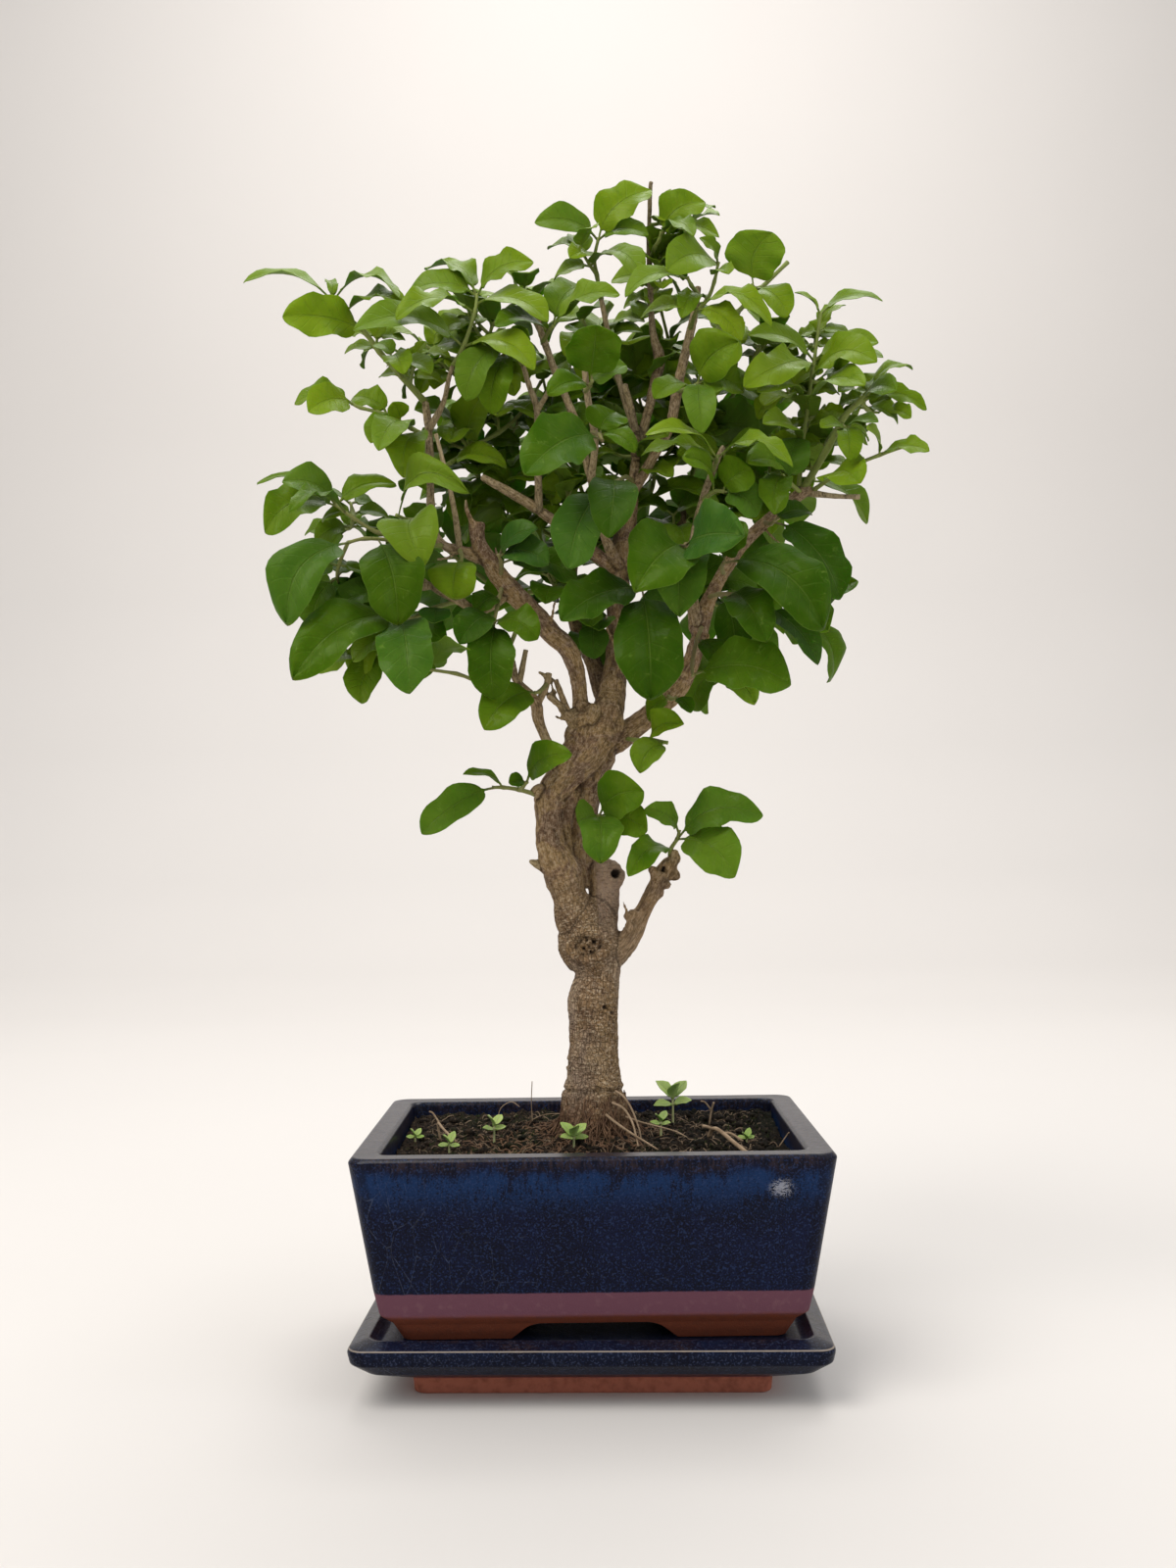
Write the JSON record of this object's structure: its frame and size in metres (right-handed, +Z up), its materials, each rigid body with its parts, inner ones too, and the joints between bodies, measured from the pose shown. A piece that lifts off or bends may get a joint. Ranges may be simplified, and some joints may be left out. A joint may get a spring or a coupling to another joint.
{
  "type": "potted bonsai tree",
  "caption": "Privet bonsai with forked limbs and a leafy crown, planted in a rectangular glazed pot on corner feet that stands in a matching drip tray",
  "frame": {"origin": "middle of the whole object's outline, at the underside of the drip tray's foot ring", "axes": "+Z up along the trunk, +X to the right seen from the front, -Y towards the front"},
  "size_m": [0.3065, 0.1548, 0.541],
  "materials": {
    "glazed_stoneware": "gloss",
    "screen_plastic": "matte",
    "soil": "matte",
    "bark": "matte",
    "leaf_lime": "satin",
    "leaf_mid": "satin",
    "leaf_dark": "satin",
    "leaf_yellow": "satin",
    "seedling": "satin"
  },
  "bodies": {
    "root": {"back_crest": "leaf_mid", "back_left_high": "leaf_mid", "back_left_low": "leaf_dark", "back_left_top": "leaf_mid", "back_mid": "leaf_mid", "back_right_high": "leaf_mid", "back_right_low": "leaf_dark", "back_right_mid": "leaf_mid", "crest_arch": "leaf_lime", "crest_heart": "leaf_lime", "crest_left": "leaf_lime", "crest_mid": "leaf_lime", "crest_right": "leaf_lime", "crest_top": "leaf_lime", "crest_wave": "leaf_mid", "drip_tray": "glazed_stoneware", "fork_leaf": "leaf_lime", "heart_pair": "leaf_mid", "left_arm": "leaf_mid", "left_bow": "leaf_lime", "left_crest": "leaf_lime", "left_drape": "leaf_dark", "left_end": "leaf_lime", "left_fold": "leaf_dark", "left_hang": "leaf_dark", "left_inner": "leaf_mid", "left_low_twig": "leaf_mid", "left_spur_leaf": "leaf_mid", "left_yellow": "leaf_yellow", "limb_right_low": "leaf_mid", "low_trunk_bow": "leaf_mid", "mid_bow": "leaf_lime", "mid_hang": "leaf_dark", "mid_low_left": "leaf_dark", "mid_pair": "leaf_dark", "mid_right": "leaf_dark", "mid_round": "leaf_mid", "mid_upper": "leaf_mid", "mid_upper_left": "leaf_mid", "mid_upper_right": "leaf_mid", "pot": "glazed_stoneware", "right_drape": "leaf_dark", "right_fan": "leaf_mid", "right_hang": "leaf_dark", "right_inner": "leaf_dark", "right_low": "leaf_dark", "right_outer": "leaf_dark", "right_ray": "leaf_lime", "right_stem_fan": "leaf_mid", "right_tall": "leaf_lime", "screen_left": "screen_plastic", "screen_right": "screen_plastic", "seedling_front": "seedling", "seedling_left": "seedling", "seedling_left_tall": "seedling", "seedling_right": "seedling", "seedling_right_pale": "seedling", "side_shoot": "leaf_mid", "soil": "soil", "trunk": "bark"}
  },
  "joints": []
}
